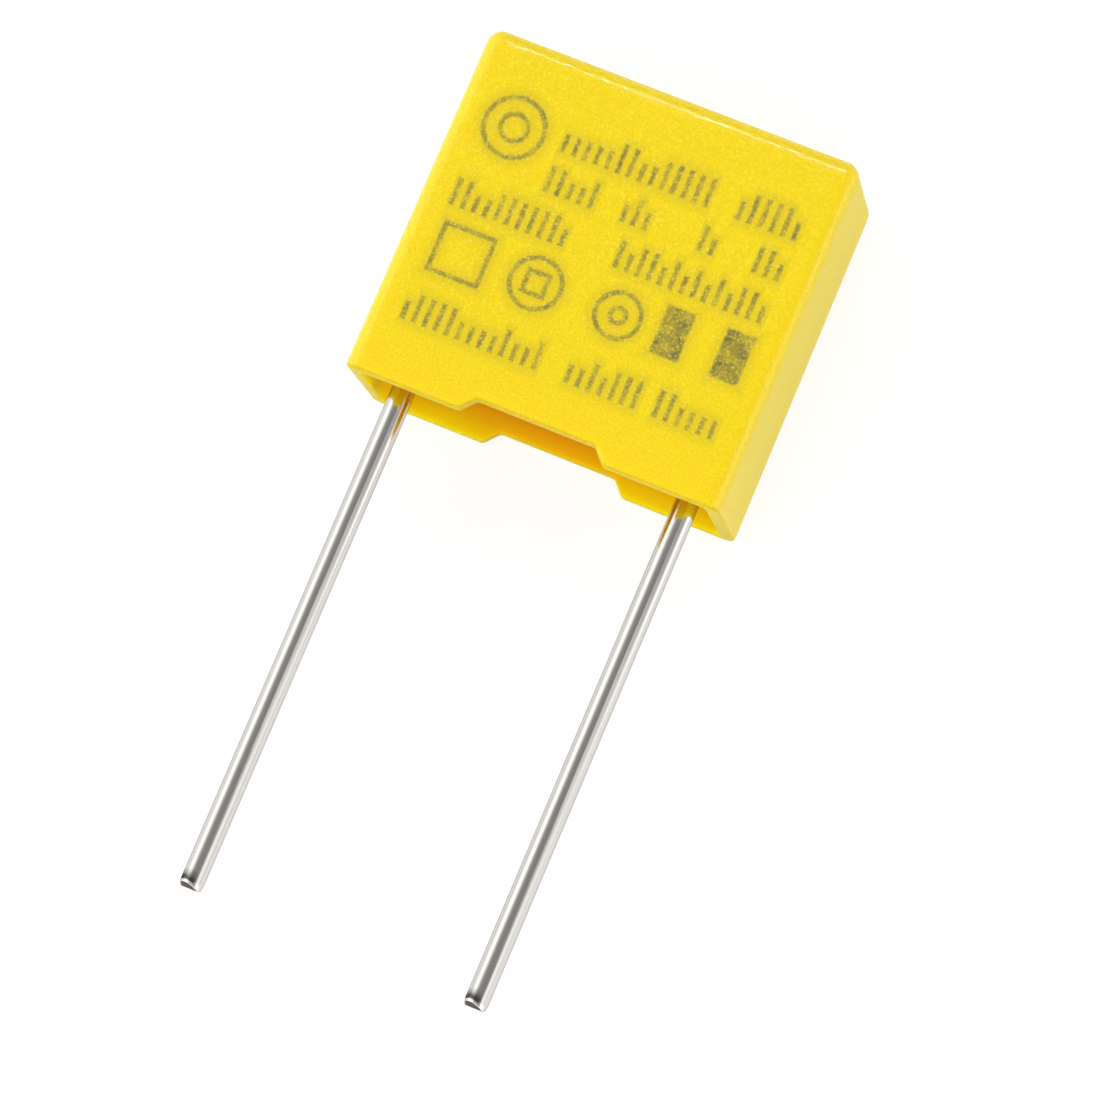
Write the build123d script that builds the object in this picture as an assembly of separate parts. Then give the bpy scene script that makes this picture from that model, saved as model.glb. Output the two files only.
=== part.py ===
from build123d import *
import math
import os

# A box-type polypropylene film capacitor with two wire leads, in millimetres.
# X runs from lead to lead, Y from the leads towards the closed end of the case, and Z up, out of
# the marked face.  The origin lies midway between the leads, on the seating plane of the feet
# (y = 0) and on the plane of the back face (z = 0), on which the capacitor lies.

# ---------------------------------------------------------------- driving dimensions

# Leads: round wire up to the resin, pressed flat inside it where it is welded on.
LEAD_PITCH = 10.0  # between the two lead axes
LEAD_DIAMETER = 0.8
LEAD_LENGTH = 17.2  # from the seating plane to the cut tip
TIP_FACET_ANGLE = 25.0  # slope of the two faces that the cutter leaves
TIP_TURN = 40.0  # how far the cutting edge is turned about the lead
LEAD_TRANSITION = 1.0  # from round wire to flat head
HEAD_THICKNESS = 0.5
HEAD_WIDTH = 1.1
HEAD_CORNER_RADIUS = 0.15
HEAD_SHORT_OF_WINDING = 1.2  # the head stops this far short of the winding's far side

# Case: one thin-walled moulding, open between the leads and slightly wider at the mouth.
SIDE_BEYOND_LEAD = 1.5  # from a lead axis to the outside of the side wall
CASE_DEPTH = 6.0
CASE_HEIGHT = 12.0
WALL = 0.5
CLOSED_END_WALL = 0.6
DRAFT_ANGLE = 0.25
OUTER_EDGE_RADIUS = 0.5
INNER_EDGE_RADIUS = 0.3
RIM_EDGE_RADIUS = 0.12

# Feet: the rim is cut back between them, which lifts the resin and rim off the board.
FOOT_LENGTH = 4.0
NOTCH_DEPTH = 0.5
NOTCH_RAMP_ANGLE = 48.0
NOTCH_CORNER_RADIUS = 0.25

# Potting resin: fills the case around the winding, with a meniscus at the walls and leads.
RESIN_BELOW_NOTCH = 1.0
MENISCUS_RADIUS = 0.6
MENISCUS_CORNER_RADIUS = 0.65  # seen along the leads, where two walls meet
MENISCUS_RISE = 0.15
LEAD_MENISCUS_WIDTH = 0.3
LEAD_MENISCUS_RISE = 0.08

# Winding: metallised film rolled up, pressed flat and sprayed with metal at both ends.
RESIN_OVER_WINDING = 0.9
RESIN_UNDER_WINDING = 0.4
RESIN_BESIDE_WINDING = 0.35
CONTACT_THICKNESS = 0.4
CONTACT_EDGE_RADIUS = 0.15

# ---------------------------------------------------------------- values that follow

LEAD_X = LEAD_PITCH / 2
LEAD_RADIUS = LEAD_DIAMETER / 2
MIDDLE_Z = CASE_DEPTH / 2
CASE_WIDTH = LEAD_PITCH + 2 * SIDE_BEYOND_LEAD
CAVITY_WIDTH = CASE_WIDTH - 2 * WALL
CAVITY_DEPTH = CASE_DEPTH - 2 * WALL
CAVITY_HEIGHT = CASE_HEIGHT - CLOSED_END_WALL
RESIN_LEVEL = NOTCH_DEPTH + RESIN_BELOW_NOTCH
CONTACT_OUTER_X = LEAD_X - LEAD_RADIUS
WINDING_LENGTH = 2 * (CONTACT_OUTER_X - CONTACT_THICKNESS)
WINDING_LOW_Y = RESIN_LEVEL + RESIN_OVER_WINDING
WINDING_HIGH_Y = CAVITY_HEIGHT - RESIN_UNDER_WINDING
WINDING_WIDTH = WINDING_HIGH_Y - WINDING_LOW_Y
WINDING_THICKNESS = CAVITY_DEPTH - 2 * RESIN_BESIDE_WINDING
HEAD_LOW_Y = RESIN_LEVEL + LEAD_TRANSITION
HEAD_HIGH_Y = WINDING_HIGH_Y - HEAD_SHORT_OF_WINDING


def plane_across(y, x=0.0):
    """A plane at right angles to the leads, halfway through the case, facing the closed end."""
    return Plane(origin=(x, y, MIDDLE_Z), x_dir=(1, 0, 0), z_dir=(0, 1, 0))


# ---------------------------------------------------------------- case


def drafted_block(width, depth, height, edge_radius):
    """A block that stands on the seating plane and narrows upwards, rounded all but its foot."""
    seat = plane_across(0)
    block = extrude(seat * Rectangle(width, depth), height)
    walls = block.faces().filter_by(Axis.Y, reverse=True)
    block = draft(walls, seat, DRAFT_ANGLE)
    edges_above_foot = [edge for edge in block.edges() if edge.center().Y > edge_radius]
    return fillet(edges_above_foot, edge_radius)


def notch_cutter():
    """A bar through both broad walls that cuts the rim back between the feet."""
    ramp_run = NOTCH_DEPTH / math.tan(math.radians(NOTCH_RAMP_ANGLE))
    length_at_seat = CASE_WIDTH - 2 * FOOT_LENGTH
    outline = Trapezoid(length_at_seat + 2 * ramp_run, 2 * NOTCH_DEPTH, NOTCH_RAMP_ANGLE)
    inner_corners = outline.vertices().group_by(Axis.Y)[-1]
    return extrude(fillet(inner_corners, NOTCH_CORNER_RADIUS), CASE_DEPTH)


def outer_rim_edges(body):
    """The edges on which the outside of the walls ends at the rim, feet and notches alike."""
    past_middle_of_wall = 0.6 * WALL
    found = []
    for edge in body.edges():
        middle = edge @ 0.5
        outside_x = abs(middle.X) - CAVITY_WIDTH / 2
        outside_z = abs(middle.Z - MIDDLE_Z) - CAVITY_DEPTH / 2
        if middle.Y <= NOTCH_DEPTH and max(outside_x, outside_z) > past_middle_of_wall:
            found.append(edge)
    return found


outside = drafted_block(CASE_WIDTH, CASE_DEPTH, CASE_HEIGHT, OUTER_EDGE_RADIUS)
cavity = drafted_block(CAVITY_WIDTH, CAVITY_DEPTH, CAVITY_HEIGHT, INNER_EDGE_RADIUS)
case = outside - cavity - notch_cutter()
case = fillet(outer_rim_edges(case), RIM_EDGE_RADIUS)

# ---------------------------------------------------------------- winding and end contacts


def roll_section(x):
    """The flattened outline of the roll, on a plane at x that faces along the roll."""
    middle_y = (WINDING_LOW_Y + WINDING_HIGH_Y) / 2
    plane = Plane(origin=(x, middle_y, MIDDLE_Z), x_dir=(0, 1, 0), z_dir=(1, 0, 0))
    return plane * SlotOverall(WINDING_WIDTH, WINDING_THICKNESS)


def end_contact(side):
    """The sprayed metal on one end of the roll, with a rounded outer edge (side is -1 or 1)."""
    layer = extrude(roll_section(side * WINDING_LENGTH / 2), side * CONTACT_THICKNESS)
    outer_edges = layer.edges().group_by(Axis.X)[-1 if side > 0 else 0]
    return fillet(outer_edges, CONTACT_EDGE_RADIUS)


winding = extrude(roll_section(0), WINDING_LENGTH / 2, both=True)
contact_left = end_contact(-1)
contact_right = end_contact(1)

# ---------------------------------------------------------------- leads


def pinch_cut_shape():
    """A long prism with a blunt two-sided point at the tip of a lead, on the Y axis."""
    half = LEAD_DIAMETER
    point_height = half * math.tan(math.radians(TIP_FACET_ANGLE))
    outline = Polyline(
        (0, -LEAD_LENGTH),
        (half, point_height - LEAD_LENGTH),
        (half, CASE_HEIGHT),
        (-half, CASE_HEIGHT),
        (-half, point_height - LEAD_LENGTH),
        close=True,
    )
    prism = extrude(make_face(outline), half, both=True)
    return Rot(0, TIP_TURN, 0) * prism


def lead(side):
    """Round wire, a transition and the flat head against the end contact (side is -1 or 1)."""
    axis_x = side * LEAD_X
    head_x = side * (CONTACT_OUTER_X + HEAD_THICKNESS / 2)
    round_section = plane_across(RESIN_LEVEL, axis_x) * Circle(LEAD_RADIUS)
    flat_outline = RectangleRounded(HEAD_THICKNESS, HEAD_WIDTH, HEAD_CORNER_RADIUS)
    flat_section = plane_across(HEAD_LOW_Y, head_x) * flat_outline
    wire = extrude(round_section, -LEAD_LENGTH - RESIN_LEVEL)
    transition = loft([round_section, flat_section], ruled=True)
    head = extrude(flat_section, HEAD_HIGH_Y - HEAD_LOW_Y)
    wire = wire & (Pos(axis_x, 0, MIDDLE_Z) * pinch_cut_shape())
    return wire + transition + head


lead_left = lead(-1)
lead_right = lead(1)

# ---------------------------------------------------------------- potting resin


def free_surface_tool():
    """What stays empty at the mouth: its rounded edge leaves the meniscus along the walls."""
    arc_leg = math.sqrt(MENISCUS_RADIUS**2 - (MENISCUS_RADIUS - MENISCUS_RISE) ** 2)
    beyond_wall = MENISCUS_RADIUS - arc_leg
    outline = RectangleRounded(
        CAVITY_WIDTH + 2 * beyond_wall,
        CAVITY_DEPTH + 2 * beyond_wall,
        MENISCUS_CORNER_RADIUS,
    )
    tool = extrude(plane_across(RESIN_LEVEL) * outline, -2 * RESIN_LEVEL)
    surface_edges = tool.edges().group_by(Axis.Y)[-1]
    return fillet(surface_edges, MENISCUS_RADIUS)


def lead_meniscus(side):
    """The small collar that the resin climbs up a lead (side is -1 or 1)."""
    inner = (0, -LEAD_MENISCUS_RISE)
    top = (LEAD_RADIUS, -LEAD_MENISCUS_RISE)
    outer = (LEAD_RADIUS + LEAD_MENISCUS_WIDTH, 0)
    slope = TangentArc(outer, top, tangent=(-1, 0))
    outline = slope + Polyline(top, inner, (0, LEAD_RADIUS), (outer[0], LEAD_RADIUS), outer)
    collar = revolve(make_face(outline), Axis.Y)
    return Pos(side * LEAD_X, RESIN_LEVEL, MIDDLE_Z) * collar


resin = cavity - free_surface_tool() + lead_meniscus(-1) + lead_meniscus(1)
for embedded in (winding, contact_left, contact_right, lead_left, lead_right):
    resin -= embedded

# ---------------------------------------------------------------- export

os.makedirs("parts", exist_ok=True)
export_step(case, "parts/case.step")
export_step(resin, "parts/epoxy_fill.step")
export_step(winding, "parts/film_winding.step")
export_step(contact_left, "parts/end_contact_left.step")
export_step(contact_right, "parts/end_contact_right.step")
export_step(lead_left, "parts/lead_left.step")
export_step(lead_right, "parts/lead_right.step")
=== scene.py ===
import math

import bmesh
import bpy
import numpy as np
from mathutils import Matrix, Vector


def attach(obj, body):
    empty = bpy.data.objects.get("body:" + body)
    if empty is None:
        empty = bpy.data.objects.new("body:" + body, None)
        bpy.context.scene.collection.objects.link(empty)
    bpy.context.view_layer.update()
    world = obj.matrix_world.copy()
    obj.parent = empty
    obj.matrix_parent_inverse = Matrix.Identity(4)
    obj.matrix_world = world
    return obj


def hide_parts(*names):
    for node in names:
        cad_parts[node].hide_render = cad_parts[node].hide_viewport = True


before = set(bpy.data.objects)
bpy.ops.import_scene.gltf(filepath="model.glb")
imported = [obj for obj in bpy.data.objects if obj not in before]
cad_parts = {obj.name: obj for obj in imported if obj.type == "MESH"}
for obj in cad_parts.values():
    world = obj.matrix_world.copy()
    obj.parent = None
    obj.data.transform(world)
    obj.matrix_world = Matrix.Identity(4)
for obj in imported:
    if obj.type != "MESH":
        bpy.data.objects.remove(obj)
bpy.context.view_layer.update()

# --- Viewpoint ---------------------------------------------------------------------------------
# A long lens looks down on the capacitor as it lies on its back, a little from the right and from
# the lead side.  The frame is square and turned, so that the leads point down to the left.
# Throughout, sizes are in millimetres, and MM turns them to metres.

MM = 0.001
LENS_PER_SENSOR = 4.551
SENSOR = 36.0
NEAREST_SEEN = 10.0
FARTHEST_SEEN = 10000.0
camera_place = Vector((30.592, -20.272, 159.925)) * MM
camera_aim = Vector((2.044, -3.09, 6.0)) * MM
camera_up = Vector((-0.3661, 0.9149, 0.17))

looking = (camera_aim - camera_place).normalized()
to_the_right = looking.cross(camera_up).normalized()
camera_turn = Matrix((to_the_right, to_the_right.cross(looking), -looking)).transposed()
camera_data = bpy.data.cameras.new("long_lens")
camera_data.sensor_width = SENSOR
camera_data.lens = LENS_PER_SENSOR * SENSOR
camera_data.clip_start = NEAREST_SEEN * MM
camera_data.clip_end = FARTHEST_SEEN * MM
camera = bpy.data.objects.new("camera", camera_data)
camera.matrix_world = Matrix.Translation(camera_place) @ camera_turn.to_4x4()
bpy.context.scene.collection.objects.link(camera)
bpy.context.scene.camera = camera

# --- Case --------------------------------------------------------------------------------------
# The case is one injection moulding of glass-filled PBT, with thin drafted walls.  Its open side
# faces the leads.  Its rim is cut back between the two feet of each broad wall, so that the resin
# stays clear of the board and flux can be washed out.

CASE_HALF_WIDTH = 6.5
CASE_HALF_DEPTH = 3.0
CASE_HEIGHT = 12.0
CASE_WALL = 0.5
CLOSED_END_WALL = 0.6
DRAFT_PER_MM = math.tan(math.radians(0.25))
OUTER_RADIUS = 0.5
INNER_RADIUS = 0.3
RIM_RADIUS = 0.14
RIM_INNER_RADIUS = 0.04
NOTCH_HALF_SEAT = 2.5
NOTCH_DEPTH = 0.5
NOTCH_RAMP = math.radians(48)
NOTCH_TOP_RADIUS = 0.25
NOTCH_FOOT_RADIUS = 0.2
MIDDLE = CASE_HALF_DEPTH
SAME_PLACE = 0.0002


def degrees(first, last, count):
    """Evenly spaced angles from first to last, given in degrees and returned in radians."""
    return np.radians(np.linspace(first, last, count))


def notch_line():
    """Half of the rim line, from the middle of the notch to just before the corner: x, height
    and the angle of the direction into the wall.  Flat, an arc round a point below, a straight
    ramp, an arc round a point above, then flat on the seat."""
    arc_steps, before_corner = 6, 5.4
    half_tangent = math.tan(NOTCH_RAMP / 2)
    top_end = NOTCH_HALF_SEAT - NOTCH_DEPTH / math.tan(NOTCH_RAMP)
    top_x = top_end - NOTCH_TOP_RADIUS * half_tangent
    foot_x = NOTCH_HALF_SEAT + NOTCH_FOOT_RADIUS * half_tangent
    turn = np.linspace(0, NOTCH_RAMP, arc_steps)
    flat_in = np.linspace(0, top_x, 6)[:-1]
    flat_out = np.linspace(foot_x, before_corner, 9)[1:]
    x = np.concatenate([
        flat_in,
        top_x + NOTCH_TOP_RADIUS * np.sin(turn),
        foot_x - NOTCH_FOOT_RADIUS * np.sin(turn[::-1]),
        flat_out,
    ])
    height = np.concatenate([
        np.full(flat_in.size, NOTCH_DEPTH),
        NOTCH_DEPTH - NOTCH_TOP_RADIUS * (1 - np.cos(turn)),
        NOTCH_FOOT_RADIUS * (1 - np.cos(turn[::-1])),
        np.zeros(flat_out.size),
    ])
    angle = np.concatenate([np.zeros(flat_in.size), turn, turn[::-1], np.zeros(flat_out.size)])
    return x, height, angle


def walk_round(broad_x, broad_height, broad_angle, side_z, corner_steps):
    """One walk round a rounded rectangle, seen along the leads.  A row for each station holds x
    and z of the station (cut off later at the straight sides' ends), the outward direction in x
    and z, the rim's height and the angle of the direction into the wall."""
    far = 100.0
    x = np.concatenate([-broad_x[:0:-1], broad_x])
    height = np.concatenate([broad_height[:0:-1], broad_height])
    angle = np.concatenate([-broad_angle[:0:-1], broad_angle])
    z = np.concatenate([side_z, -side_z[::-1]])
    turn = degrees(0, 90, corner_steps + 1)
    nothing = np.zeros(turn.size)
    broad = np.stack([x, x * 0 + far, x * 0, x * 0 + 1, height, angle], axis=1)
    corner = np.stack([
        nothing + far, nothing + far, np.sin(turn), np.cos(turn), nothing, nothing], axis=1)
    side = np.stack([z * 0 + far, z, z * 0 + 1, z * 0, z * 0, z * 0], axis=1)
    corner_back = corner[::-1] * (1, -1, 1, -1, 1, 1)
    half = np.concatenate([broad, corner, side, corner_back])
    return np.concatenate([half, half * (-1, -1, -1, -1, 1, -1)])


def wall_grid(stations, half_width, half_depth, radius, inset, along, lift, height):
    """Points of a drafted wall on a grid of rings and stations.  Inset, along, lift and height
    hold a value for each ring.  The height goes from the rim line, moved by along into the wall,
    to the given height as lift goes from 0 to 1.  The straight sides move in by inset and by the
    draft, and the corners keep their centres until the radius is used up."""
    x, z, out_x, out_z, rim, angle = stations.T
    inset, along, lift, height = (
        values[:, None] for values in np.broadcast_arrays(*np.atleast_1d(inset, along, lift, height)))
    y = (rim + along * np.cos(angle)) * (1 - lift) + height * lift
    narrower = y * DRAFT_PER_MM + np.maximum(radius, inset)
    core_x = np.clip(x, narrower - half_width, half_width - narrower)
    core_z = np.clip(z, narrower - half_depth, half_depth - narrower)
    reach = np.maximum(radius - inset, 0)
    shift = along * np.sin(angle) * (1 - lift)
    return np.stack([core_x + out_x * reach + shift, y, core_z + out_z * reach], axis=-1)


def closed_piece(name, rings, first_pole, last_pole, material, smooth_angle=None):
    """A closed mesh from a stack of closed rings: quads between neighbouring rings, and a fan to
    a pole point at each end.  Points are in millimetres, with z from the middle of the case."""
    rows, count, _ = rings.shape
    points = np.concatenate([rings.reshape(-1, 3), [first_pole, last_pole]])
    points = (points + (0, 0, MIDDLE)) * MM
    index = np.arange(rows * count).reshape(rows, count)
    turned = np.roll(index, -1, axis=1)
    quads = np.stack([index[:-1], index[1:], turned[1:], turned[:-1]], axis=-1).reshape(-1, 4)
    pole = np.full(count, rows * count)
    fans = np.concatenate([
        np.stack([pole, index[0], turned[0]], axis=1),
        np.stack([pole + 1, turned[-1], index[-1]], axis=1),
    ])
    mesh = bpy.data.meshes.new(name)
    mesh.from_pydata(points.tolist(), [], quads.tolist() + fans.tolist())
    weld(mesh)
    mesh.materials.append(material)
    mesh.shade_smooth()
    if smooth_angle:
        mesh.set_sharp_from_angle(angle=smooth_angle)
    piece = bpy.data.objects.new(name, mesh)
    bpy.context.scene.collection.objects.link(piece)
    return piece


def weld(mesh):
    """Merges points that fall together, such as those of a corner whose radius is used up."""
    shell = bmesh.new()
    shell.from_mesh(mesh)
    bmesh.ops.remove_doubles(shell, verts=shell.verts, dist=SAME_PLACE * MM)
    bmesh.ops.dissolve_degenerate(shell, edges=shell.edges, dist=SAME_PLACE / 2 * MM)
    shell.to_mesh(mesh)
    shell.free()


def case_rings():
    """The rings from the middle of the closed end over the outside to the rim, round the rim and
    up the inside to the middle of the cavity's end.  Each rounding is a quarter circle.  Between
    them, the rings lie closer near the rim, where the notches bend them."""
    rim_x, rim_height, rim_angle = notch_line()
    side_z, corner_steps = np.linspace(2.1, 0.3, 4), 10
    stations = walk_round(rim_x, rim_height, rim_angle, side_z, corner_steps)
    outer = (stations, CASE_HALF_WIDTH, CASE_HALF_DEPTH, OUTER_RADIUS)
    inner = (stations, CASE_HALF_WIDTH - CASE_WALL, CASE_HALF_DEPTH - CASE_WALL, INNER_RADIUS)
    shoulder = CASE_HEIGHT - OUTER_RADIUS
    ceiling = CASE_HEIGHT - CLOSED_END_WALL
    outer_turn, rim_turn = degrees(90, 0, 12), degrees(0, 90, 7)
    inner_rim_turn, inner_turn = degrees(90, 0, 4), degrees(0, 90, 6)
    outer_lift = np.array([0.98, 0.9, 0.75, 0.6, 0.45, 0.3, 0.2, 0.12, 0.06, 0.02])
    inner_lift = np.array([0.01, 0.03, 0.06, 0.1, 0.2, 0.5, 0.98])
    end_inset = np.array([2.0, 0.8])
    rings = np.concatenate([
        wall_grid(*outer, end_inset, 0, 1, CASE_HEIGHT),
        wall_grid(*outer, OUTER_RADIUS * (1 - np.cos(outer_turn)), 0, 1,
                  shoulder + OUTER_RADIUS * np.sin(outer_turn)),
        wall_grid(*outer, 0, RIM_RADIUS, outer_lift, shoulder),
        wall_grid(*outer, RIM_RADIUS * (1 - np.cos(rim_turn)),
                  RIM_RADIUS * (1 - np.sin(rim_turn)), 0, 0),
        wall_grid(*inner, RIM_INNER_RADIUS * (np.cos(inner_rim_turn) - 1),
                  RIM_INNER_RADIUS * (1 - np.sin(inner_rim_turn)), 0, 0),
        wall_grid(*inner, 0, RIM_INNER_RADIUS, inner_lift, ceiling - INNER_RADIUS),
        wall_grid(*inner, INNER_RADIUS * (1 - np.cos(inner_turn)), 0, 1,
                  ceiling - INNER_RADIUS * (1 - np.sin(inner_turn))),
    ])
    return rings, (0, CASE_HEIGHT, 0), (0, ceiling, 0)


def linear(hex_colour):
    """The linear red, green, blue and alpha of an sRGB hex colour: channels over 0.04045 are
    raised to the power 2.4 after the offset, and lower ones are divided by 12.92."""
    channels = [int(hex_colour[i : i + 2], 16) / 255 for i in (1, 3, 5)]
    return [c / 12.92 if c <= 0.04045 else ((c + 0.055) / 1.055) ** 2.4 for c in channels] + [1.0]


def add_node(tree, kind, inputs=(), **settings):
    """Adds a node, sets its properties, and fills its inputs with numbers or with links.  A tuple
    that starts with an operation is a formula, such as ("ADD", a, b), whose terms may be formulas
    too, and it is worked out ahead of the input."""
    node = tree.nodes.new(kind)
    for name, value in settings.items():
        setattr(node, name, value)
    for name, value in dict(inputs).items():
        if isinstance(value, tuple) and isinstance(value[0], str):
            operation, *terms = value
            value = add_node(
                tree, "ShaderNodeMath", dict(enumerate(terms)), operation=operation).outputs[0]
        if isinstance(value, bpy.types.NodeSocket):
            tree.links.new(value, node.inputs[name])
        else:
            node.inputs[name].default_value = value
    return node


def new_material(name):
    """An empty node material and its tree, with the tree's Object coordinates."""
    material = bpy.data.materials.new(name)
    material.use_nodes = True
    tree = material.node_tree
    tree.nodes.clear()
    return material, tree, add_node(tree, "ShaderNodeTexCoord").outputs["Object"]


# Yellow PBT.  Outside, the spark-eroded mould leaves an even satin skin with a grain of about
# 0.1 mm, whose crests catch the light as fine sparkles under a thin gloss.  Its crests are also
# painted pale as painted glints, and its troughs darker as painted shade.  The side and end walls
# slid along the mould as the case was pushed out of it, and the rim met its parting line: they are
# duller, and the rim and the side walls are painted darker as painted shade.  Inside, the polished
# core leaves no grain, and the yellow is painted deeper and darker further in as painted shade.
# Light soaks a short way into the plastic, so that the thin walls glow warmer on their shaded side.
GRAIN = 0.08
GRAIN_HEIGHT = 0.016
GLOSS_GRAIN_HEIGHT = 0.011
CLOUD = 0.5
MOST_OF_WALL = 0.9
PAINTED_SHADE_DEPTH = 1.1
PAINTED_GLINT = 0.28
PAINTED_GLINT_ON_MARK = 1.4
RIM_PAINTED_SHADE = 0.34
SIDE_PAINTED_SHADE = 0.1
SATIN_ROUGHNESS = 0.4
DULLING = 0.3
GLOSS = 0.8
case_plastic, tree, place = new_material("yellow_pbt_spark_eroded")
grain = add_node(tree, "ShaderNodeTexNoise", {
    "Vector": place, "Scale": 1 / (GRAIN * MM), "Detail": 2.0, "Roughness": 0.6}).outputs["Fac"]
clouds = add_node(tree, "ShaderNodeTexNoise", {
    "Vector": place, "Scale": 1 / (CLOUD * MM), "Detail": 2.0}).outputs["Fac"]
# Painted shade: the grain's troughs are darkened in colour, standing in for the shade of the relief.
grain_painted_shade = add_node(tree, "ShaderNodeMapRange", {
    "Value": grain, "From Min": 0.3, "From Max": 0.7, "To Min": 0.85, "To Max": 0.98}).outputs[0]
# Painted glints: the grain's crests are mixed towards a pale yellow, more strongly on the marking.
painted_glint = add_node(tree, "ShaderNodeMapRange", {
    "Value": grain, "From Min": 0.62, "From Max": 0.76, "To Max": PAINTED_GLINT}).outputs[0]

# The outside is told from the inside by where it lies in the wall's thickness.
east, north, depth = add_node(tree, "ShaderNodeSeparateXYZ", {0: place}).outputs
core_half_width = (CASE_HALF_WIDTH - MOST_OF_WALL * CASE_WALL) * MM
core_half_depth = (CASE_HALF_DEPTH - MOST_OF_WALL * CASE_WALL) * MM
core_end = (CASE_HEIGHT - MOST_OF_WALL * CLOSED_END_WALL) * MM
outside = add_node(tree, "ShaderNodeMath", {
    0: ("MAXIMUM",
        ("GREATER_THAN", ("ABSOLUTE", east), core_half_width),
        ("GREATER_THAN", ("ABSOLUTE", ("SUBTRACT", depth, MIDDLE * MM)), core_half_depth)),
    1: ("GREATER_THAN", north, core_end)}, operation="MAXIMUM").outputs[0]

# The marking is burnt into the skin by a laser, which turns the yellow to a mottled olive grey and
# leaves the crests of the grain less burnt; those lighter crests also stand in for glints in the
# mark, as painted highlights.  Around the marks the yellow is faintly darker, as painted shade of
# light that spreads under the surface and is lost in the mark.  It is generic: groups of upright
# strokes in two heights, rings, frames and blocks.  Each shape is a distance, below zero inside it,
# and the nearest shape counts.  A row of strokes holds its height on the face, the height of its
# strokes, and the first and last stroke of each group, counted from the middle.  A ring holds x, y
# and radius, and a frame or block x, y, half width and half height.
FACE_Z = 5.7
STROKE = 0.19
STROKE_PITCH = 0.38
SHORT_STROKE_CUT = 0.35
SHORT_STROKES_FROM = 0.6
DRAWS_APART = 100
BEAM_UNSTEADY = 0.06
BEAM_FLICKER = 0.12
PAINTED_HALO_REACH = 0.4
STROKE_ROWS = (
    (9.4, 1.0, ((-7, 6), (9, 14))),
    (7.95, 0.9, ((-7, -3), (0, 2), (7, 8), (12, 14))),
    (6.5, 0.95, ((-14, -4), (1, 14))),
    (2.5, 0.95, ((-14, -2), (1, 7), (9, 14))),
)
RINGS = (
    (-4.4, 9.1, 1.0), (-4.4, 9.1, 0.45), (-1.75, 4.65, 0.85), (1.1, 4.65, 0.75), (1.1, 4.65, 0.25))
FRAMES = ((-4.35, 4.65, 0.85, 0.8), (-1.75, 4.65, 0.35, 0.35))
BLOCKS = ((2.95, 4.75, 0.5, 0.85), (5.0, 4.75, 0.5, 0.85))


def beyond_box(x, y, half_width, half_height):
    """The formula for how far a point of the face lies beyond an upright rectangle: its distance
    from the middle less half the side, across or upwards, whichever is larger."""
    beside = ("SUBTRACT", ("ABSOLUTE", ("SUBTRACT", across, x)), half_width)
    above = ("SUBTRACT", ("ABSOLUTE", ("SUBTRACT", upward, y)), half_height)
    return ("MAXIMUM", beside, above)


flicker = add_node(tree, "ShaderNodeTexNoise", {
    "Vector": place, "Scale": 1 / (BEAM_FLICKER * MM), "Detail": 1.0}).outputs["Color"]
unsteady = add_node(tree, "ShaderNodeVectorMath", {
    0: flicker, 1: (BEAM_UNSTEADY, BEAM_UNSTEADY, 0.0),
    2: (-BEAM_UNSTEADY / 2, -BEAM_UNSTEADY / 2, 0.0)}, operation="MULTIPLY_ADD").outputs[0]
on_face = add_node(tree, "ShaderNodeVectorMath", {
    0: place, 1: (1 / MM, 1 / MM, 0.0), 2: unsteady}, operation="MULTIPLY_ADD").outputs[0]
across, upward, _ = add_node(tree, "ShaderNodeSeparateXYZ", {0: on_face}).outputs
share = add_node(tree, "ShaderNodeMapRange", {
    "Value": across, "From Min": -CASE_HALF_WIDTH, "From Max": CASE_HALF_WIDTH}).outputs[0]
stroke = add_node(tree, "ShaderNodeMath", {
    0: ("PINGPONG", across, STROKE_PITCH / 2), 1: STROKE / 2}, operation="SUBTRACT").outputs[0]
number = add_node(tree, "ShaderNodeMath", {
    0: ("DIVIDE", across, STROKE_PITCH)}, operation="ROUND").outputs[0]
lines = []
for height, tall, groups in STROKE_ROWS:
    ramp = add_node(tree, "ShaderNodeValToRGB", {"Fac": share})
    ramp.color_ramp.interpolation = "CONSTANT"
    stops = ramp.color_ramp.elements
    stops[0].color = (1, 1, 1, 1)
    stops.remove(stops[1])
    for first, last in groups:
        for edge, level in ((first - 0.5, 0.0), (last + 0.5, 1.0)):
            stop = stops.new(edge * STROKE_PITCH / (2 * CASE_HALF_WIDTH) + 0.5)
            stop.color = (level, level, level, 1)
    off_groups = ("SUBTRACT", ramp.outputs[0], 0.5)
    draw = add_node(tree, "ShaderNodeTexWhiteNoise", {
        "W": ("ADD", number, DRAWS_APART * height)}, noise_dimensions="1D").outputs["Value"]
    cut = ("MULTIPLY", ("GREATER_THAN", draw, SHORT_STROKES_FROM), SHORT_STROKE_CUT * tall)
    over = ("ADD", ("SUBTRACT", upward, height + tall / 2), cut)
    under = ("SUBTRACT", height - tall / 2, upward)
    lines.append(("MAXIMUM", ("MAXIMUM", over, under), ("MAXIMUM", stroke, off_groups)))
for x, y, radius in RINGS:
    from_centre = add_node(tree, "ShaderNodeVectorMath", {
        0: on_face, 1: (x, y, 0)}, operation="DISTANCE").outputs["Value"]
    lines.append(("SUBTRACT", ("ABSOLUTE", ("SUBTRACT", from_centre, radius)), STROKE / 2))
for frame_box in FRAMES:
    lines.append(("SUBTRACT", ("ABSOLUTE", beyond_box(*frame_box)), STROKE / 2))
nearest_line = lines[0]
for line in lines[1:]:
    nearest_line = add_node(
        tree, "ShaderNodeMath", {0: nearest_line, 1: line}, operation="MINIMUM").outputs[0]
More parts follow.
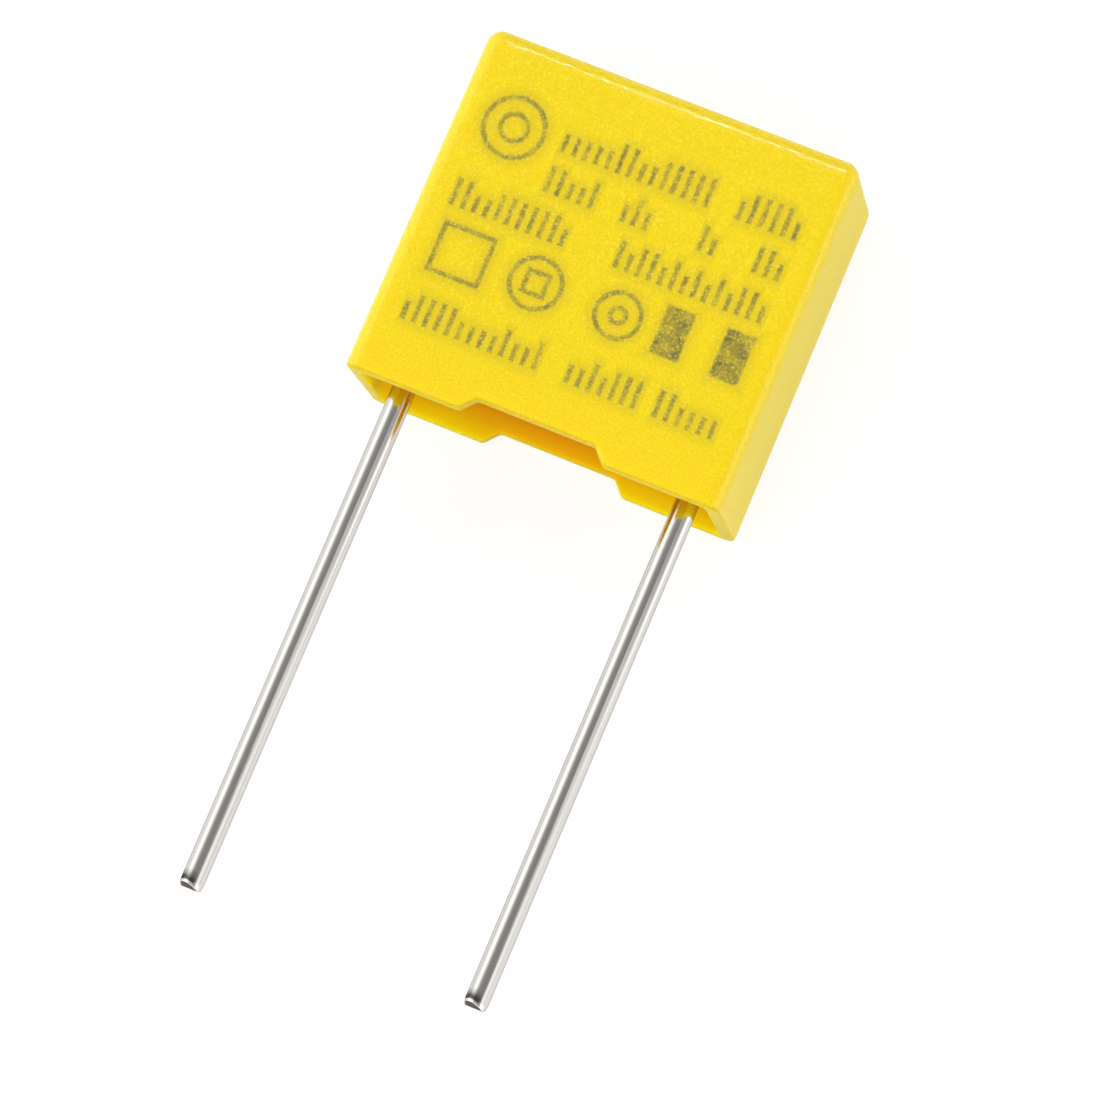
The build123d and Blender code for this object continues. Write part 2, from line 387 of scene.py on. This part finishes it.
nearest_block = add_node(tree, "ShaderNodeMath", {
    0: beyond_box(*BLOCKS[0]), 1: beyond_box(*BLOCKS[1])}, operation="MINIMUM").outputs[0]
drawn = add_node(tree, "ShaderNodeMapRange", {
    "Value": nearest_line, "From Min": 0.06, "From Max": -0.07, "To Max": 0.88},
    interpolation_type="SMOOTHSTEP").outputs[0]
filled = add_node(tree, "ShaderNodeMapRange", {
    "Value": nearest_block, "From Min": 0.07, "From Max": -0.09, "To Max": 1.0},
    interpolation_type="SMOOTHSTEP").outputs[0]
# Painted shade: the yellow is darkened faintly around the marks.
painted_halo_shade = add_node(tree, "ShaderNodeMapRange", {
    "Value": ("MINIMUM", nearest_line, nearest_block),
    "From Min": PAINTED_HALO_REACH, "From Max": 0.0, "To Max": 0.15},
    interpolation_type="SMOOTHSTEP").outputs[0]
patchy = add_node(tree, "ShaderNodeMapRange", {
    "Value": clouds, "From Min": 0.3, "From Max": 0.65, "To Min": 0.6, "To Max": 1.0}).outputs[0]
# The lighter crests in the marking are partly less burnt and partly painted glints.
less_burnt_crests_and_glints = add_node(tree, "ShaderNodeMapRange", {
    "Value": grain, "From Min": 0.42, "From Max": 0.65, "To Min": 1.0, "To Max": 0.65}).outputs[0]
burnt = ("MULTIPLY", ("MULTIPLY", ("MAXIMUM", drawn, filled), patchy), less_burnt_crests_and_glints)
marked = add_node(tree, "ShaderNodeMath", {
    0: ("MAXIMUM", burnt, painted_halo_shade), 1: ("GREATER_THAN", depth, FACE_Z * MM)},
    operation="MULTIPLY").outputs[0]

# The colours: warm yellow inside, painted deeper further in as painted shade, the plain yellow of
# the skin, the marking, and the painted glints on the pale crests.
# Painted shade: the inside goes from a bright yellow at the rim to a darker orange further in.
deeper_painted_shade = add_node(tree, "ShaderNodeMapRange", {
    "Value": north, "From Min": 0.0, "From Max": PAINTED_SHADE_DEPTH * MM}).outputs[0]
inner = add_node(tree, "ShaderNodeMix", {
    "Factor": deeper_painted_shade, 6: linear("#FFEA00"), 7: linear("#EAAB00")}, data_type="RGBA").outputs[2]
plain = add_node(tree, "ShaderNodeMix", {
    "Factor": outside, 6: inner, 7: linear("#F9DC00")}, data_type="RGBA").outputs[2]
yellow = add_node(tree, "ShaderNodeMix", {
    "Factor": marked, 6: plain, 7: linear("#7A7440")}, data_type="RGBA").outputs[2]
# The crests are mixed towards pale yellow as painted glints.
with_painted_glints = add_node(tree, "ShaderNodeMix", {
    "Factor": (
        "MULTIPLY",
        ("MULTIPLY", ("MULTIPLY_ADD", marked, PAINTED_GLINT_ON_MARK, 1.0), painted_glint), outside),
    6: yellow, 7: linear("#FFF6A8")}, data_type="RGBA").outputs[2]

# The duller parts of the skin are told by the way they face, and so are the rim and the side walls
# that are painted darker as painted shade.
facing = add_node(tree, "ShaderNodeNewGeometry").outputs["Normal"]
_, towards_end, towards_face = add_node(tree, "ShaderNodeSeparateXYZ", {0: facing}).outputs
rim = add_node(tree, "ShaderNodeMapRange", {
    "Value": towards_end, "From Min": -0.1, "From Max": -0.6, "To Max": 0.8}).outputs[0]
side_wall = add_node(tree, "ShaderNodeMapRange", {
    "Value": ("ABSOLUTE", towards_face), "From Min": 0.5, "From Max": 0.2, "To Max": 0.7}).outputs[0]
end_wall = add_node(tree, "ShaderNodeMapRange", {
    "Value": towards_end, "From Min": 0.6, "From Max": 0.85, "To Max": 0.7}).outputs[0]
dull = add_node(tree, "ShaderNodeMath", {
    0: ("MAXIMUM", ("SUBTRACT", 1.0, outside), rim), 1: ("MAXIMUM", side_wall, end_wall)},
    operation="MAXIMUM").outputs[0]
# Painted shade: the rim, facing the leads, and the side walls are darkened in colour.
painted_shade = ("MAXIMUM", ("MULTIPLY", rim, RIM_PAINTED_SHADE), ("MULTIPLY", side_wall, SIDE_PAINTED_SHADE))
skin_colour = add_node(tree, "ShaderNodeVectorMath", {
    0: with_painted_glints,
    "Scale": (
        "MULTIPLY", ("SUBTRACT", 1.0, painted_shade), ("MAXIMUM", grain_painted_shade, ("LESS_THAN", outside, 0.5)))},
    operation="SCALE").outputs[0]
relief = add_node(tree, "ShaderNodeMath", {0: grain, 1: outside}, operation="MULTIPLY").outputs[0]
bump = add_node(tree, "ShaderNodeBump", {
    "Strength": 1.0, "Distance": GRAIN_HEIGHT * MM, "Height": relief}).outputs[0]
gloss_bump = add_node(tree, "ShaderNodeBump", {
    "Strength": 1.0, "Distance": GLOSS_GRAIN_HEIGHT * MM, "Height": relief}).outputs[0]
skin = add_node(tree, "ShaderNodeBsdfPrincipled", {
    "Base Color": skin_colour, "Roughness": ("MULTIPLY_ADD", dull, DULLING, SATIN_ROUGHNESS),
    "IOR": 1.5, "Specular IOR Level": 0.12, "Normal": bump,
    "Coat Weight": ("MULTIPLY_ADD", dull, -GLOSS, GLOSS), "Coat Roughness": 0.06,
    "Coat IOR": 1.5, "Coat Normal": gloss_bump,
    "Subsurface Weight": 0.5, "Subsurface Radius": (1.0, 0.4, 0.03), "Subsurface Scale": 0.7 * MM})
add_node(tree, "ShaderNodeOutputMaterial", {"Surface": skin.outputs[0]})

rings, closed_pole, cavity_pole = case_rings()
case = closed_piece("case_shell", rings, closed_pole, cavity_pole, case_plastic)
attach(case, "root")
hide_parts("case")

# --- Winding and end contacts ------------------------------------------------------------------
# Metallised polypropylene film is rolled up, pressed flat and sprayed with zinc at both ends, which
# joins every second layer to the contact there.  The roll lies deep inside the resin.

FILM_STEP = 0.06
WAVE_STEP = 0.314
DROPLET = 0.08
DROPLET_HEIGHT = 0.03

# Metallised film seen edge on: a fine stack of bright layers, drawn coarser than the real 0.006 mm,
# which would not show.  The wave repeats every 0.314 of its own units.
material, tree, place = new_material("metallised_polypropylene_film")
layers = add_node(tree, "ShaderNodeTexWave", {
    "Vector": place, "Scale": WAVE_STEP / (FILM_STEP * MM), "Distortion": 1.5, "Detail": 2.0},
    bands_direction="Z").outputs["Fac"]
tone = add_node(tree, "ShaderNodeMix", {
    "Factor": layers, 6: linear("#A9ABAF"), 7: linear("#C9CBCF")}, data_type="RGBA").outputs[2]
film = add_node(tree, "ShaderNodeBsdfPrincipled", {
    "Base Color": tone, "Metallic": 0.7, "Roughness": 0.3})
add_node(tree, "ShaderNodeOutputMaterial", {"Surface": film.outputs[0]})
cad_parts["film_winding"].data.materials.clear()
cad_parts["film_winding"].data.materials.append(material)

# Flame-sprayed zinc: a dull grey crust of frozen droplets, about 0.08 mm across.
material, tree, place = new_material("flame_sprayed_zinc")
droplets = add_node(tree, "ShaderNodeTexVoronoi", {
    "Vector": place, "Scale": 1 / (DROPLET * MM)}, feature="SMOOTH_F1").outputs["Distance"]
crust = add_node(tree, "ShaderNodeBump", {
    "Strength": 0.6, "Distance": DROPLET_HEIGHT * MM, "Height": droplets}).outputs[0]
tone = add_node(tree, "ShaderNodeMix", {
    "Factor": droplets, 6: linear("#A6A7A9"), 7: linear("#7E7F82")}, data_type="RGBA").outputs[2]
zinc = add_node(tree, "ShaderNodeBsdfPrincipled", {
    "Base Color": tone, "Metallic": 0.9, "Roughness": 0.6, "Normal": crust})
add_node(tree, "ShaderNodeOutputMaterial", {"Surface": zinc.outputs[0]})
for name in ("end_contact_left", "end_contact_right"):
    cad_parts[name].data.materials.clear()
    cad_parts[name].data.materials.append(material)

# --- Potting resin -----------------------------------------------------------------------------
# Two-part epoxy, poured in through the mouth with the case upside down and cured.  It wets the
# walls and the leads, so its level face turns up in a small meniscus at each of them.

RESIN_LEVEL = 1.5
RESIN_BURIED = 2.8
WALL_MENISCUS_RADIUS = 0.6
WALL_MENISCUS_RISE = 0.15
LEAD_MENISCUS_RISE = 0.08
LEAD_MENISCUS_REACH = 0.12
LEAD_RADIUS = 0.4
LEAD_X = 5.0


def resin_surface(x, z, inset):
    """The height of the free face.  Near a wall it follows a circle that would meet the wall at
    an angle, and near a lead it falls off as e to the power of minus the distance."""
    circle = WALL_MENISCUS_RADIUS
    past_wall = circle - math.sqrt(circle**2 - (circle - WALL_MENISCUS_RISE) ** 2)
    from_centre = np.clip(circle - past_wall - inset, 0, None)
    at_wall = circle - np.sqrt(circle**2 - from_centre**2)
    from_lead = np.clip(np.hypot(np.abs(x) - LEAD_X, z) - LEAD_RADIUS, 0, None)
    at_lead = LEAD_MENISCUS_RISE * np.exp(-from_lead / LEAD_MENISCUS_REACH)
    return RESIN_LEVEL - at_wall - at_lead


def resin_rings():
    """A ring down on the wall, then rings from the wall over the free face to its middle, close
    enough together to follow the meniscus round the leads."""
    broad_x, side_z, corner_steps = np.linspace(0, 5.6, 81), np.linspace(2.15, 0.05, 32), 8
    stations = walk_round(broad_x, broad_x * 0, broad_x * 0, side_z, corner_steps)
    cavity = (stations, CASE_HALF_WIDTH - CASE_WALL, CASE_HALF_DEPTH - CASE_WALL, INNER_RADIUS)
    inset = np.concatenate([np.linspace(0, 0.55, 14), np.linspace(0.6, 2.4, 25)])
    face = wall_grid(*cavity, inset, 0, 1, RESIN_LEVEL)
    face[..., 1] = resin_surface(face[..., 0], face[..., 2], inset[:, None])
    return np.concatenate([wall_grid(*cavity, 0, 0, 1, RESIN_BURIED), face])


# Filled epoxy, tinted to go with the case: amber, with a soft gloss, slow waves from the pouring
# and a few pinholes where bubbles broke as it set.
WAVE_LENGTH = 1.4
WAVE_HEIGHT = 0.05
PINHOLE_APART = 0.9
PINHOLE_DEPTH = 0.3
material, tree, place = new_material("amber_potting_epoxy")
waves = add_node(tree, "ShaderNodeTexNoise", {
    "Vector": place, "Scale": 1 / (WAVE_LENGTH * MM), "Detail": 2.0}).outputs["Fac"]
from_pinhole = add_node(tree, "ShaderNodeTexVoronoi", {
    "Vector": place, "Scale": 1 / (PINHOLE_APART * MM)}).outputs["Distance"]
off_pinholes = add_node(tree, "ShaderNodeMapRange", {
    "Value": from_pinhole, "From Min": 0.03, "From Max": 0.08}).outputs[0]
tone = add_node(tree, "ShaderNodeMix", {
    "Factor": waves, 6: linear("#C98E08"), 7: linear("#DDA41A")}, data_type="RGBA").outputs[2]
bump = add_node(tree, "ShaderNodeBump", {
    "Strength": 0.8, "Distance": WAVE_HEIGHT * MM,
    "Height": ("MULTIPLY_ADD", off_pinholes, PINHOLE_DEPTH, waves)}).outputs[0]
epoxy = add_node(tree, "ShaderNodeBsdfPrincipled", {
    "Base Color": tone, "Roughness": 0.22, "IOR": 1.55, "Normal": bump,
    "Subsurface Weight": 0.3, "Subsurface Radius": (1.0, 0.5, 0.1), "Subsurface Scale": 0.3 * MM})
add_node(tree, "ShaderNodeOutputMaterial", {"Surface": epoxy.outputs[0]})

resin = closed_piece(
    "resin_fill", resin_rings(), (0, RESIN_BURIED, 0), (0, RESIN_LEVEL, 0), material)
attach(resin, "root")
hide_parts("epoxy_fill")

# --- Leads -------------------------------------------------------------------------------------
# Round copper wire, drawn, hot-dip tinned and cut to length by a pinching cutter, whose blades
# leave a blunt roof-shaped tip of bare metal inside a thin bright lip of tin.  Within the resin the
# wire is pressed flat and welded to the end contact.

LEAD_TIP = -17.2
HEAD_START = 2.5
HEAD_END = 9.8
HEAD_HALF_THICKNESS = 0.25
HEAD_HALF_WIDTH = 0.55
HEAD_SHIFT = 0.15
TIP_SLOPE = math.tan(math.radians(25))
TIP_TURN = math.radians(-65)
TIP_FACET_RADIUS = 0.338
TIP_END = 0.6
LEAD_STATIONS = 72
LIP_EDGE = math.radians(40)

# The rings of the tip: radius, height over the cut, and the share of the roof shape that is kept.
# Where the height is negative, the lip of tin juts out past the cut.
TIP_ROWS = (
    (0.04, 0.0, 1.0), (0.12, 0.0, 1.0), (0.2, 0.0, 1.0), (0.28, 0.0, 1.0), (0.335, 0.0, 1.0),
    (0.345, -0.012, 1.0), (0.358, -0.02, 1.0), (0.372, -0.012, 1.0), (0.378, 0.006, 1.0),
    (0.376, 0.025, 1.0), (0.38, 0.045, 1.0), (0.387, 0.075, 1.0), (0.393, 0.12, 0.9),
    (0.398, 0.18, 0.6), (0.4, 0.26, 0.3), (0.4, 0.36, 0.0))


def lead_rings(side):
    """Rings from the tip to the end of the flat head.  A ring at the tip has a radius, a height,
    and the share of the roof shape that it keeps, which raises each point by its distance from
    the ridge times the slope.  In the head the circle becomes a superellipse of power four."""
    angle = np.linspace(0, 2 * math.pi, LEAD_STATIONS, endpoint=False) + TIP_TURN
    across, along = np.cos(angle), np.sin(angle)
    radius, height, share = (column[:, None] for column in np.array(TIP_ROWS).T)
    roof = share * TIP_SLOPE * radius * np.abs(np.cos(angle - TIP_TURN))
    tip = np.stack([LEAD_X + radius * across, LEAD_TIP + height + roof, radius * along], axis=-1)
    y = np.linspace(LEAD_TIP + TIP_END, RESIN_LEVEL, 31)[:, None]
    wire = np.stack([
        LEAD_X + LEAD_RADIUS * across + 0 * y, y + 0 * across, LEAD_RADIUS * along + 0 * y], axis=-1)
    share = np.append(np.linspace(0.1, 1, 10), 1)[:, None]
    y = np.append(np.linspace(RESIN_LEVEL, HEAD_START, 11)[1:], HEAD_END)[:, None]
    flat_x = np.sign(across) * np.abs(across) ** 0.5 * HEAD_HALF_THICKNESS - HEAD_SHIFT
    flat_z = np.sign(along) * np.abs(along) ** 0.5 * HEAD_HALF_WIDTH
    head = np.stack([
        LEAD_X + (1 - share) * LEAD_RADIUS * across + share * flat_x, y + 0 * across,
        (1 - share) * LEAD_RADIUS * along + share * flat_z], axis=-1)
    rings = np.concatenate([tip, wire, head])
    ends = np.array([(LEAD_X, LEAD_TIP, 0), (LEAD_X - HEAD_SHIFT, HEAD_END, 0)])
    turned = (side, 1, side)
    return rings * turned, ends * turned


# Hot-dip tin on drawn wire: bright and nearly smooth, with faint streaks along the drawing
# direction and a soft unevenness where the dip has drained off.  The blade has smeared the tin
# dark just above the cut, all but its lip and one flank.
STREAK = 0.08
STREAK_SQUEEZE = 0.03
DRAIN = 0.5
TIN_RELIEF = 0.004
tin, tree, place = new_material("hot_dip_tin_on_wire")
along_wire = add_node(
    tree, "ShaderNodeMapping", {"Vector": place, "Scale": (1.0, STREAK_SQUEEZE, 1.0)}).outputs[0]
streaks = add_node(tree, "ShaderNodeTexNoise", {
    "Vector": along_wire, "Scale": 1 / (STREAK * MM), "Detail": 3.0}).outputs["Fac"]
drain = add_node(tree, "ShaderNodeTexNoise", {
    "Vector": place, "Scale": 1 / (DRAIN * MM)}).outputs["Fac"]
roughness = add_node(tree, "ShaderNodeMapRange", {
    "Value": streaks, "From Min": 0.3, "From Max": 0.7, "To Min": 0.05, "To Max": 0.13}).outputs[0]
bump = add_node(tree, "ShaderNodeBump", {
    "Strength": 0.25, "Distance": TIN_RELIEF * MM, "Height": ("ADD", streaks, drain)}).outputs[0]
east, north, depth = add_node(tree, "ShaderNodeSeparateXYZ", {0: place}).outputs
from_axis = add_node(tree, "ShaderNodeMath", {
    0: ("WRAP", ("DIVIDE", east, MM), 2 * LEAD_X, 0.0), 1: LEAD_X}, operation="SUBTRACT").outputs[0]
from_middle = ("SUBTRACT", ("DIVIDE", depth, MM), MIDDLE)
from_ridge = ("ABSOLUTE", (
    "ADD", ("MULTIPLY", from_middle, math.sin(TIP_TURN)),
    ("MULTIPLY", from_axis, math.cos(TIP_TURN))))
above_cut = add_node(tree, "ShaderNodeMath", {
    0: from_ridge, 1: -TIP_SLOPE, 2: ("SUBTRACT", ("DIVIDE", north, MM), LEAD_TIP)},
    operation="MULTIPLY_ADD").outputs[0]
off_lip = add_node(tree, "ShaderNodeMapRange", {
    "Value": above_cut, "From Min": 0.05, "From Max": 0.065}).outputs[0]
near_cut = add_node(tree, "ShaderNodeMapRange", {
    "Value": ("MULTIPLY_ADD", drain, 0.3, above_cut), "From Min": 0.6, "From Max": 0.3}).outputs[0]
blade_side = add_node(tree, "ShaderNodeMapRange", {
    "Value": from_axis, "From Min": 0.2, "From Max": 0.1}).outputs[0]
tone = add_node(tree, "ShaderNodeMix", {
    "Factor": ("MULTIPLY", ("MULTIPLY", off_lip, near_cut), blade_side),
    6: linear("#D9D6D1"), 7: linear("#4A4743")}, data_type="RGBA").outputs[2]
metal = add_node(tree, "ShaderNodeBsdfPrincipled", {
    "Base Color": tone, "Metallic": 1.0, "Roughness": roughness, "Normal": bump,
    "Specular Tint": linear("#BEBEBE")})
add_node(tree, "ShaderNodeOutputMaterial", {"Surface": metal.outputs[0]})

# Bare copper where the blades went through: dark, tarnished, with fine shear marks.
SHEAR_MARK = 0.05
bare_copper, tree, place = new_material("sheared_copper")
shear = add_node(tree, "ShaderNodeTexNoise", {
    "Vector": place, "Scale": 1 / (SHEAR_MARK * MM), "Detail": 3.0}).outputs["Fac"]
tone = add_node(tree, "ShaderNodeMix", {
    "Factor": shear, 6: linear("#261B18"), 7: linear("#5C453C")}, data_type="RGBA").outputs[2]
metal = add_node(tree, "ShaderNodeBsdfPrincipled", {
    "Base Color": tone, "Metallic": 1.0, "Roughness": 0.4})
add_node(tree, "ShaderNodeOutputMaterial", {"Surface": metal.outputs[0]})

for name, side in (("lead_left", -1), ("lead_right", 1)):
    rings, (tip_pole, head_pole) = lead_rings(side)
    lead = closed_piece(name + "_wire", rings, tip_pole, head_pole, tin, LIP_EDGE)
    lead.data.materials.append(bare_copper)
    centres = np.empty(len(lead.data.polygons) * 3)
    lead.data.polygons.foreach_get("center", centres)
    x, y, z = centres.reshape(-1, 3).T / MM
    ring_radius = np.hypot(np.abs(x) - LEAD_X, z - MIDDLE)
    is_facet = (ring_radius < TIP_FACET_RADIUS) & (y < LEAD_TIP + LEAD_RADIUS)
    lead.data.polygons.foreach_set("material_index", is_facet.astype(np.int32))
    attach(lead, "root")
    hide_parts(name)

# --- Studio ------------------------------------------------------------------------------------
# A tent of white cloth, given as a level for each direction.  Level with the leads it has a tall
# lamp at the left, a lamp at the right and a dim slot behind the camera, which draws the dark band
# along the wires.  A thin bright bar beyond the closed end draws a line of sparkles on its edge.

# Levels by the angle about the leads, in degrees from straight up towards the right, where white
# cloth in plain light is 1.  Heights are the share of a direction that points towards the closed
# end.  The right lamp widens towards that end, in steps of height.
LEFT_LAMP = ((-180, 0.5), (-120, 0.8), (-88, 0.9), (-75, 1.15), (-66, 1.5), (-42, 1.5), (-30, 0.75),
             (-17, 0.4), (-7, 0.33), (8, 0.3))
RIGHT_LAMP = (
    (0.033, ((42, 0.29), (47, 0.95), (56, 1.3), (68, 1.25), (80, 1.1), (92, 0.8), (120, 0.5))),
    (0.064, ((27, 0.29), (31, 0.95), (48, 1.0), (58, 1.0), (70, 1.2), (82, 1.1), (100, 0.8))),
    (0.1, ((23, 0.29), (28, 0.9), (42, 0.66), (54, 0.66), (66, 1.1), (80, 1.4), (100, 1.0))),
    (0.14, ((23, 0.29), (45, 0.3), (60, 0.5), (70, 1.2), (80, 3.0), (95, 3.2), (110, 1.0))),
)
TENT_WALLS = (
    (-180, 0.4), (-97, 0.6), (-85, 2.15), (-45, 2.15), (-28, 0.7), (28, 0.42), (44, 0.68),
    (52, 1.5), (100, 1.55), (110, 0.7), (130, 0.4))
TENT_ENDS = 0.88
END_FROM, END_WHOLE = 0.5, 0.7
MOUTH_SIDE, CLOSED_SIDE = 1.5, 0.6
SIDES_REACH = 0.6
LAMPS_MIDDLE = 0.07
LAMPS_WHOLE, LAMPS_REACH = 0.16, 0.35
BRIGHTEST = 4.0
BAR_LEVEL = 85.0
BAR_HEIGHT = (0.535, 0.545, 0.555, 0.565)
BAR_TURN = (-22, -16, 6, 12)


def share_of_turn(angle):
    """An angle in degrees as a share of the whole turn, which starts straight down."""
    return angle / 360 + 0.5


world = bpy.data.worlds.new("studio")
bpy.context.scene.world = world
world.use_nodes = True
tree = world.node_tree
tree.nodes.clear()
direction = add_node(tree, "ShaderNodeTexCoord").outputs["Generated"]
right, end_on, up = add_node(tree, "ShaderNodeSeparateXYZ", {0: direction}).outputs
turn = add_node(tree, "ShaderNodeMapRange", {
    "Value": ("ARCTAN2", right, up), "From Min": -math.pi, "From Max": math.pi}).outputs[0]
curves = []
for levels in [LEFT_LAMP + levels for _, levels in RIGHT_LAMP] + [TENT_WALLS]:
    curve = add_node(tree, "ShaderNodeValToRGB", {"Fac": turn})
    stops = curve.color_ramp.elements
    while len(stops) < len(levels):
        stops.new(0.5)
    for stop, (angle, level) in zip(stops, levels):
        stop.position = share_of_turn(angle)
        stop.color = (level / BRIGHTEST, level / BRIGHTEST, level / BRIGHTEST, 1)
    curves.append(curve.outputs["Color"])
lamps = curves[0]
heights = [height for height, _ in RIGHT_LAMP]
for low, high, curve in zip(heights, heights[1:], curves[1:]):
    risen = add_node(tree, "ShaderNodeMapRange", {
        "Value": end_on, "From Min": low, "From Max": high}).outputs[0]
    lamps = add_node(tree, "ShaderNodeMix", {"Factor": risen, 2: lamps, 3: curve}).outputs[0]
bar = BAR_LEVEL / BRIGHTEST
for value, edges in ((end_on, BAR_HEIGHT), (turn, [share_of_turn(angle) for angle in BAR_TURN])):
    for none, full in ((edges[0], edges[1]), (edges[3], edges[2])):
        within = add_node(tree, "ShaderNodeMapRange", {
            "Value": value, "From Min": none, "From Max": full}).outputs[0]
        bar = ("MULTIPLY", within, bar)
at_end = add_node(tree, "ShaderNodeMapRange", {
    "Value": ("ABSOLUTE", end_on), "From Min": END_FROM, "From Max": END_WHOLE},
    interpolation_type="SMOOTHSTEP").outputs[0]
tent = add_node(tree, "ShaderNodeMix", {
    "Factor": at_end, 2: curves[-1], 3: TENT_ENDS / BRIGHTEST}).outputs[0]
towards_mouth = add_node(tree, "ShaderNodeMapRange", {
    "Value": end_on, "From Min": -SIDES_REACH, "From Max": SIDES_REACH,
    "To Min": MOUTH_SIDE, "To Max": CLOSED_SIDE}).outputs[0]
off_lamps = add_node(tree, "ShaderNodeMapRange", {
    "Value": ("ABSOLUTE", ("SUBTRACT", end_on, LAMPS_MIDDLE)),
    "From Min": LAMPS_WHOLE, "From Max": LAMPS_REACH}, interpolation_type="SMOOTHSTEP").outputs[0]
level = add_node(tree, "ShaderNodeMix", {
    "Factor": off_lamps, 2: lamps, 3: ("MULTIPLY_ADD", tent, towards_mouth, bar)}).outputs[0]
path = add_node(tree, "ShaderNodeLightPath").outputs
lit = add_node(tree, "ShaderNodeBackground", {"Color": level, "Strength": BRIGHTEST})
seen = add_node(tree, "ShaderNodeBackground", {"Color": (1, 1, 1, 1), "Strength": 1.0})
mix = add_node(tree, "ShaderNodeMixShader", {
    "Fac": ("MAXIMUM", path["Is Camera Ray"], path["Is Transmission Ray"]),
    1: lit.outputs[0], 2: seen.outputs[0]})
add_node(tree, "ShaderNodeOutputWorld", {"Surface": mix.outputs[0]})

# A white table.  The eye, glossy surfaces and clear ones see it lit from below as well, so that it
# stays white beside the case and keeps only a faint shadow.
TABLE_HALF = 600.0
TABLE_GLOW = 0.76
material, tree, _ = new_material("white_table")
path = add_node(tree, "ShaderNodeLightPath").outputs
board = add_node(tree, "ShaderNodeBsdfDiffuse", {"Color": linear("#EDEDED")})
faint = add_node(tree, "ShaderNodeBsdfDiffuse", {"Color": linear("#959595")})
glow = add_node(tree, "ShaderNodeEmission", {"Color": (1, 1, 1, 1), "Strength": TABLE_GLOW})
backlit = add_node(tree, "ShaderNodeAddShader", {0: faint.outputs[0], 1: glow.outputs[0]})
table = add_node(tree, "ShaderNodeMixShader", {
    "Fac": (
        "MAXIMUM", path["Is Camera Ray"],
        ("MAXIMUM", path["Is Glossy Ray"], path["Is Transmission Ray"])),
    1: board.outputs[0], 2: backlit.outputs[0]})
add_node(tree, "ShaderNodeOutputMaterial", {"Surface": table.outputs[0]})
corners = np.array([(-1, -1, 0), (1, -1, 0), (1, 1, 0), (-1, 1, 0)]) * TABLE_HALF * MM
floor_mesh = bpy.data.meshes.new("table")
floor_mesh.from_pydata(corners.tolist(), [], [(0, 1, 2, 3)])
floor_mesh.materials.append(material)
floor = bpy.data.objects.new("table", floor_mesh)
bpy.context.scene.collection.objects.link(floor)

bpy.context.scene.view_settings.view_transform = "Standard"
bpy.context.view_layer.update()
